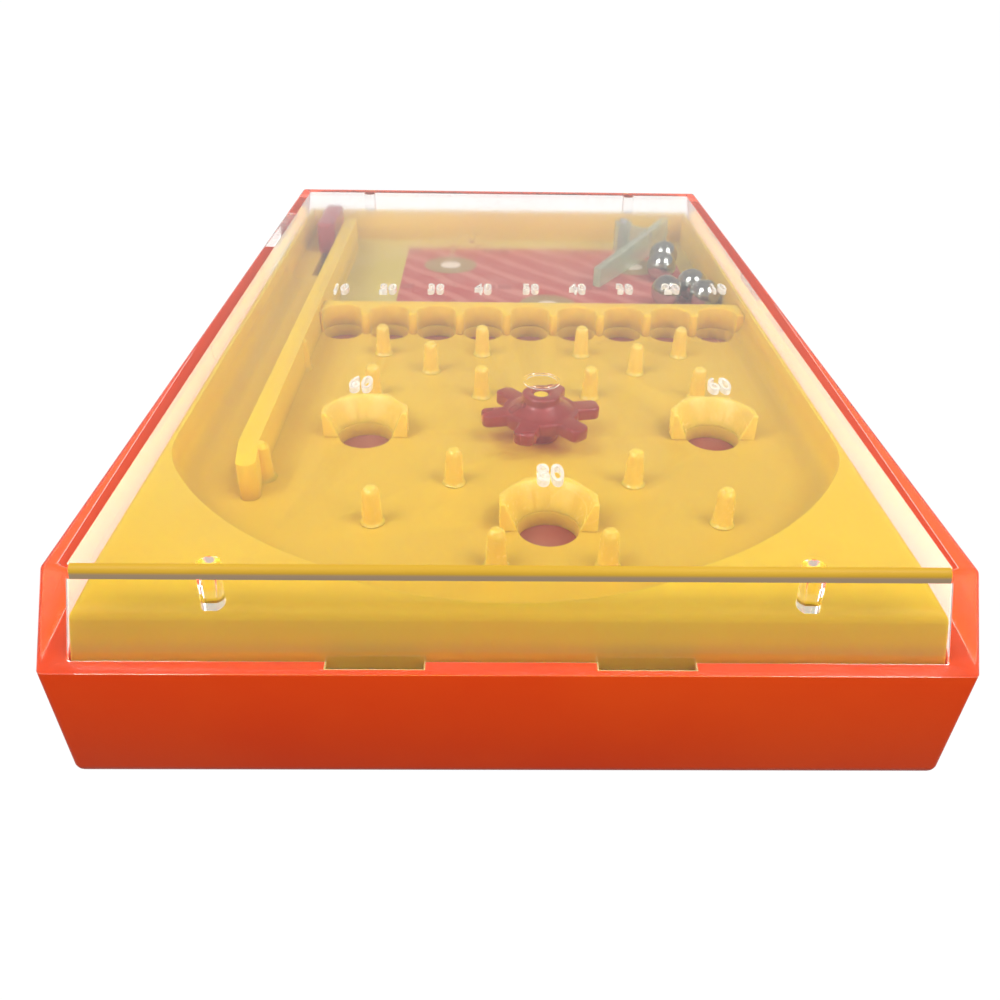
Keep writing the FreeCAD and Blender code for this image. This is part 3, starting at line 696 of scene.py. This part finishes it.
def makeNumber(name, words, size, x, y, underside, values):
    curve = bpy.data.curves.new(name, "FONT")
    curve.body = words
    curve.size = size * millimetre * values["fontShare"]
    curve.align_x = "CENTER"
    curve.extrude = values["depth"] * millimetre / 2
    curve.bevel_depth = values["edge"] * millimetre
    curve.bevel_resolution = 1
    curve.resolution_u = values["curveSteps"]
    text = bpy.data.objects.new(name + "Text", curve)
    scene.collection.objects.link(text)
    bpy.context.view_layer.update()
    mesh = bpy.data.meshes.new_from_object(text.evaluated_get(bpy.context.evaluated_depsgraph_get()))
    bpy.data.objects.remove(text)
    middle = underside + (values["embed"] - values["depth"] / 2) * millimetre
    mesh.transform(Matrix.Diagonal((values["narrow"], 1.0, 1.0, 1.0)))
    mesh.transform(Matrix.Translation((x * millimetre, y * millimetre, middle)))
    mesh.materials.clear()
    mesh.materials.append(finishes["raisedFigure"])
    number = bpy.data.objects.new(name, mesh)
    scene.collection.objects.link(number)
    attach(number, "case")


for index, words in enumerate(numberValues["pocketScores"]):
    makeNumber(
        "pocketNumber%d" % (index + 1), words, numberValues["pocketSize"],
        numberValues["pocketFirst"] + index * numberValues["pocketPitch"],
        numberValues["pocketLine"] + index * numberValues["pocketRise"], plateUnder, numberValues)
for index, (words, x, y) in enumerate(numberValues["cupScores"]):
    makeNumber(
        "cupNumber%d" % (index + 1), words, numberValues["cupSize"], x, y, plateUnder, numberValues)
print("raised numbers made")

# Floor, lamps and surroundings

stageValues = {
    "floorHalfSize": 3.0,      # metres
    "floorDrop": 0.0001,       # metres
    "floorGlow": 0.92,         # share of plain white that the camera, gloss and glass see
    "floorWhite": 1.10,
    "floorMatt": (0.25, 0.25, 0.25, 1.0),
    "seenThrough": 1.4,        # white seen through the clear cover, against white seen directly
    "skyLow": 0.16,            # light from the horizon
    "skyHigh": 0.50,           # light from overhead
    "skyTop": 0.9,             # sine of the height at which the sky is at its brightest
    "mirroredLow": 0.62,       # white that gloss shows near the horizon, against white seen directly
    "mirroredHigh": 0.50,      # the same from high up
    "mirroredRange": (0.2, 0.6),    # sines of the heights between which it changes
    "lampDistance": 0.6,       # metres
    "glint": 4.0,              # how brightly gloss under the cover shows the lamps
    "coverGlint": 0.04,        # how brightly the cover itself shows them
    "lamps": (
        # turn from the near side and height in degrees, size, power, and how the walls' insides show it
        (52, 52, 0.30, 1.24, 4.0),
        (-52, 52, 0.30, 1.05, 4.0),
        (52, 26, 0.20, 0.20, 0.04),
        (-52, 26, 0.20, 0.18, 0.04),
    ),
}


def beforeMatt(tree, path):
    # Depths count whole bounces, so every threshold here lies halfway between two counts
    return calculate(tree, "LESS_THAN", path.outputs["Diffuse Depth"], 0.5)


def seenWhite(tree, path):
    # Mask of 1 on the rays that show the white surroundings
    seen = calculate(tree, "MAXIMUM", path.outputs["Is Camera Ray"], path.outputs["Is Glossy Ray"])
    seen = calculate(tree, "MAXIMUM", seen, path.outputs["Is Transmission Ray"])
    return calculate(tree, "MULTIPLY", seen, beforeMatt(tree, path))


def whiteLevel(tree, path, values, dimmed):
    # White is dimmed after one reflection and raised where the cover lets it through
    mirrored = addNode(tree, "ShaderNodeMath", {
        0: path.outputs["Glossy Depth"], 1: 1.0, 2: 0.5}, operation="COMPARE").outputs[0]
    level = mixValue(tree, path.outputs["Is Transmission Ray"], 1.0, values["seenThrough"])
    return mixValue(tree, mirrored, level, dimmed)


def countedOnce(tree, path):
    # Light that reached a matt face through the clear cover as a shadow ray isn't added a second time
    again = calculate(tree, "GREATER_THAN", path.outputs["Diffuse Depth"], 0.5)
    again = calculate(tree, "MULTIPLY", again, path.outputs["Is Transmission Ray"])
    return calculate(tree, "SUBTRACT", 1.0, again)


def lampLevel(tree, path, values, inWall):
    # Gloss under the cover shows the lamps brightly, and so do some of its walls' insides.
    # The cover's own faces hardly show them.
    shining = calculate(tree, "GREATER_THAN", path.outputs["Glossy Depth"], 0.5)
    shining = calculate(tree, "MULTIPLY", shining, beforeMatt(tree, path))
    underCover = calculate(tree, "GREATER_THAN", path.outputs["Transmission Depth"], 3.5)
    manyTimes = calculate(tree, "GREATER_THAN", path.outputs["Glossy Depth"], 1.5)
    bright = calculate(tree, "MAXIMUM", underCover, manyTimes)
    inside = calculate(tree, "GREATER_THAN", path.outputs["Transmission Depth"], 0.5)
    cover = mixValue(tree, inside, values["coverGlint"], inWall)
    level = mixValue(tree, shining, 1.0, mixValue(tree, bright, cover, values["glint"]))
    return calculate(tree, "MULTIPLY", level, countedOnce(tree, path))


def makeFloor(values):
    shape = bmesh.new()
    bmesh.ops.create_grid(shape, x_segments=1, y_segments=1, size=values["floorHalfSize"])
    bmesh.ops.translate(shape, verts=shape.verts, vec=(0.0, 0.0, -values["floorDrop"]))
    mesh = bpy.data.meshes.new("floor")
    shape.to_mesh(mesh)
    shape.free()
    material = bpy.data.materials.new("paleFloor")
    material.use_nodes = True
    tree = material.node_tree
    tree.nodes.clear()
    output = tree.nodes.new("ShaderNodeOutputMaterial")
    matt = addNode(tree, "ShaderNodeBsdfDiffuse", {"Color": values["floorMatt"]})
    path = tree.nodes.new("ShaderNodeLightPath")
    level = whiteLevel(tree, path, values, values["mirroredHigh"])
    white = calculate(tree, "MULTIPLY", level, values["floorWhite"])
    glow = addNode(tree, "ShaderNodeEmission", {"Color": (1.0, 1.0, 1.0, 1.0), "Strength": white})
    share = calculate(tree, "MULTIPLY", seenWhite(tree, path), values["floorGlow"])
    mixed = addNode(tree, "ShaderNodeMixShader", {0: share, 1: matt.outputs[0], 2: glow.outputs[0]})
    tree.links.new(mixed.outputs[0], output.inputs["Surface"])
    mesh.materials.append(material)
    floor = bpy.data.objects.new("floor", mesh)
    scene.collection.objects.link(floor)


def makeSurroundings(values):
    world = bpy.data.worlds.new("surroundings")
    scene.world = world
    world.use_nodes = True
    tree = world.node_tree
    tree.nodes.clear()
    output = tree.nodes.new("ShaderNodeOutputWorld")
    path = tree.nodes.new("ShaderNodeLightPath")
    toward = tree.nodes.new("ShaderNodeTexCoord").outputs["Generated"]
    high = addNode(tree, "ShaderNodeSeparateXYZ", {0: toward}).outputs[2]    # sine of the elevation
    light = mapValue(tree, high, 0.0, values["skyTop"], values["skyLow"], values["skyHigh"])
    light = calculate(tree, "MULTIPLY", light, countedOnce(tree, path))
    dimmed = mapValue(tree, high, *values["mirroredRange"], values["mirroredLow"], values["mirroredHigh"])
    strength = mixValue(tree, seenWhite(tree, path), light, whiteLevel(tree, path, values, dimmed))
    sky = addNode(tree, "ShaderNodeBackground", {"Color": (1.0, 1.0, 1.0, 1.0), "Strength": strength})
    tree.links.new(sky.outputs[0], output.inputs["Surface"])


def makeLamp(name, turn, height, size, power, inWall, values):
    data = bpy.data.lights.new(name, "AREA")
    data.shape = "DISK"
    data.size = size
    data.energy = power
    data.use_nodes = True
    tree = data.node_tree
    tree.nodes.clear()
    path = tree.nodes.new("ShaderNodeLightPath")
    beam = addNode(tree, "ShaderNodeEmission", {"Strength": lampLevel(tree, path, values, inWall)})
    tree.links.new(beam.outputs[0], tree.nodes.new("ShaderNodeOutputLight").inputs["Surface"])
    turn, height = math.radians(turn), math.radians(height)
    away = Vector((math.sin(turn) * math.cos(height), -math.cos(turn) * math.cos(height), math.sin(height)))
    lamp = bpy.data.objects.new(name, data)
    lamp.matrix_world = Matrix.Translation(
        away * values["lampDistance"]) @ away.to_track_quat("Z", "Y").to_matrix().to_4x4()
    scene.collection.objects.link(lamp)


makeFloor(stageValues)
makeSurroundings(stageValues)
for index, lampValues in enumerate(stageValues["lamps"]):
    makeLamp("softLamp%d" % (index + 1), *lampValues, stageValues)
print("floor and light set")
